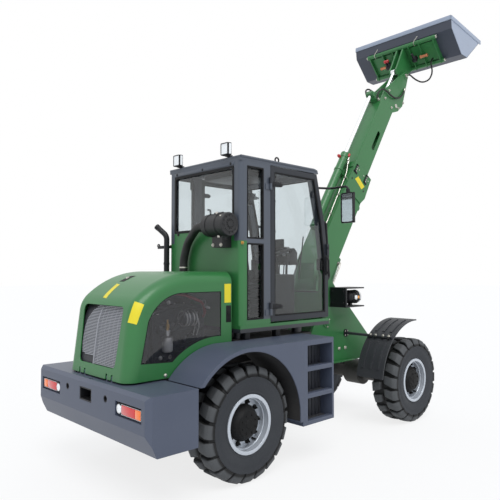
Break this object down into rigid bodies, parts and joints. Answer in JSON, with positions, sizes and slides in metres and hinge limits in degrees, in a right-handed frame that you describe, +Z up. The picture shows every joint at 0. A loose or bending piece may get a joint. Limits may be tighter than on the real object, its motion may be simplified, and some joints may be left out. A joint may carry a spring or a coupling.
{
  "type": "articulated telescopic wheel loader",
  "caption": "Articulated telescopic wheel loader with a glazed cab, rear engine hood, telescopic boom, quick coupler and bucket, hinged in the middle to steer.",
  "frame": {"origin": "on the ground under the middle of the machine's box", "axes": "+X forward, +Y to the driver's left, +Z up"},
  "size_m": [5.8867, 1.868, 5.3285],
  "materials": {
    "green_paint": "gloss paint",
    "cab_grey": "satin paint",
    "guard_grey": "satin paint",
    "black_paint": "satin paint",
    "hose_rubber": "matt",
    "tyre": "matt",
    "rim_silver": "silver paint",
    "window_glass": "clear",
    "rod_chrome": "polished",
    "grille_steel": "perforated",
    "tail_lens": "gloss",
    "lamp_clear": "gloss",
    "seat_cover": "vinyl",
    "engine_grey": "painted casting"
  },
  "bodies": {
    "rear_body": {"rear_frame": "green_paint", "rear_axle": "black_paint", "counterweight": "guard_grey", "tail_lamps": "tail_lens", "engine_block": "engine_grey", "rear_mudguards": "guard_grey", "step_boxes": "guard_grey", "cab_floor": "green_paint", "cab_rear_panel": "green_paint", "cab_rear_frame": "cab_grey", "cab_sides": "cab_grey", "cab_front": "cab_grey", "cab_roof": "cab_grey", "cab_windows": "window_glass", "seat": "seat_cover", "steering_column": "black_paint", "mirrors": "black_paint", "grab_rails": "black_paint", "roof_lamps": "lamp_clear", "exhaust": "black_paint", "air_cleaner": "black_paint", "intake_hose": "hose_rubber"},
    "hood": {"hood": "green_paint", "hood_windows": "window_glass", "grille": "grille_steel"},
    "door_left": {"door_left": "cab_grey", "door_left_glass": "window_glass"},
    "door_right": {"door_right": "cab_grey", "door_right_glass": "window_glass"},
    "front_body": {"front_frame": "green_paint", "front_axle": "black_paint", "front_mudguards": "black_paint", "headlights": "black_paint"},
    "outer_boom": {"outer_boom": "green_paint", "tele_barrel": "green_paint"},
    "inner_boom": {"inner_boom": "green_paint", "tele_rod": "rod_chrome", "boom_hoses": "hose_rubber"},
    "coupler": {"coupler": "green_paint", "bucket": "guard_grey", "coupler_hose": "hose_rubber"},
    "tilt_rod": {"tilt_rod": "rod_chrome"},
    "lift_barrel": {"lift_barrel": "green_paint"},
    "lift_rod": {"lift_rod": "rod_chrome"},
    "steer_barrel": {"steer_barrel": "black_paint"},
    "steer_rod": {"steer_rod": "rod_chrome"},
    "wheel_front_left": {"tyre_front_left": "tyre", "rim_front_left": "rim_silver"},
    "wheel_front_right": {"tyre_front_right": "tyre", "rim_front_right": "rim_silver"},
    "wheel_rear_left": {"tyre_rear_left": "tyre", "rim_rear_left": "rim_silver"},
    "wheel_rear_right": {"tyre_rear_right": "tyre", "rim_rear_right": "rim_silver"}
  },
  "joints": [
    {"name": "steer", "type": "hinge", "parent": "rear_body", "child": "front_body", "pos_m": [-0.505, 0, 0.765], "axis": [0, 0, 1], "range_deg": [-38, 38]},
    {"name": "steer_barrel_swing", "type": "hinge", "parent": "rear_body", "child": "steer_barrel", "pos_m": [-0.955, -0.33, 0.78], "axis": [0, 0, 1], "range_deg": [-16, 16]},
    {"name": "steer_rod_slide", "type": "slide", "parent": "steer_barrel", "child": "steer_rod", "axis": [0.9968, 0.0794, 0], "range_m": [-0.2, 0.2]},
    {"name": "boom_lift", "type": "hinge", "parent": "front_body", "child": "outer_boom", "pos_m": [-0.062, 0, 1.64], "axis": [0, -1, 0], "range_deg": [-89, 0]},
    {"name": "lift_barrel_swing", "type": "hinge", "parent": "front_body", "child": "lift_barrel", "pos_m": [-0.012, 0, 1.19], "axis": [0, -1, 0], "range_deg": [-90, 5]},
    {"name": "lift_rod_slide", "type": "slide", "parent": "lift_barrel", "child": "lift_rod", "axis": [0.4983, 0, 0.867], "range_m": [-0.75, 0.02]},
    {"name": "boom_extend", "type": "slide", "parent": "outer_boom", "child": "inner_boom", "axis": [0.5417, 0, 0.8406], "range_m": [-1, 0]},
    {"name": "bucket_tilt", "type": "hinge", "parent": "inner_boom", "child": "coupler", "pos_m": [1.98547, 0, 4.65091], "axis": [0, 1, 0], "range_deg": [-50, 85]},
    {"name": "tilt_rod_slide", "type": "slide", "parent": "inner_boom", "child": "tilt_rod", "axis": [0.5417, 0, 0.8406], "range_m": [-0.14, 0.22]},
    {"name": "hood_open", "type": "hinge", "parent": "rear_body", "child": "hood", "pos_m": [-2.84, 0, 0.938], "axis": [0, -1, 0], "range_deg": [0, 50]},
    {"name": "door_left_open", "type": "hinge", "parent": "rear_body", "child": "door_left", "pos_m": [-1.335, 0.573, 2], "axis": [0, 0, 1], "range_deg": [0, 95]},
    {"name": "door_right_open", "type": "hinge", "parent": "rear_body", "child": "door_right", "pos_m": [-1.335, -0.573, 2], "axis": [0, 0, -1], "range_deg": [0, 95]},
    {"name": "wheel_front_left_spin", "type": "hinge", "parent": "front_body", "child": "wheel_front_left", "pos_m": [0.852, 0.692, 0.492], "axis": [0, 1, 0], "continuous": true},
    {"name": "wheel_front_right_spin", "type": "hinge", "parent": "front_body", "child": "wheel_front_right", "pos_m": [0.852, -0.692, 0.492], "axis": [0, 1, 0], "continuous": true},
    {"name": "wheel_rear_left_spin", "type": "hinge", "parent": "rear_body", "child": "wheel_rear_left", "pos_m": [-1.862, 0.692, 0.492], "axis": [0, 1, 0], "continuous": true},
    {"name": "wheel_rear_right_spin", "type": "hinge", "parent": "rear_body", "child": "wheel_rear_right", "pos_m": [-1.862, -0.692, 0.492], "axis": [0, 1, 0], "continuous": true}
  ],
  "couplings": [
    {"joint": "steer_barrel_swing", "follows": "steer", "ratio": 0.35679},
    {"joint": "steer_rod_slide", "follows": "steer", "m_per_rad": 0.28666},
    {"joint": "lift_barrel_swing", "follows": "boom_lift", "ratio": 0.93592},
    {"joint": "lift_rod_slide", "follows": "boom_lift", "m_per_rad": 0.39999},
    {"joint": "tilt_rod_slide", "follows": "bucket_tilt", "m_per_rad": 0.133}
  ]
}
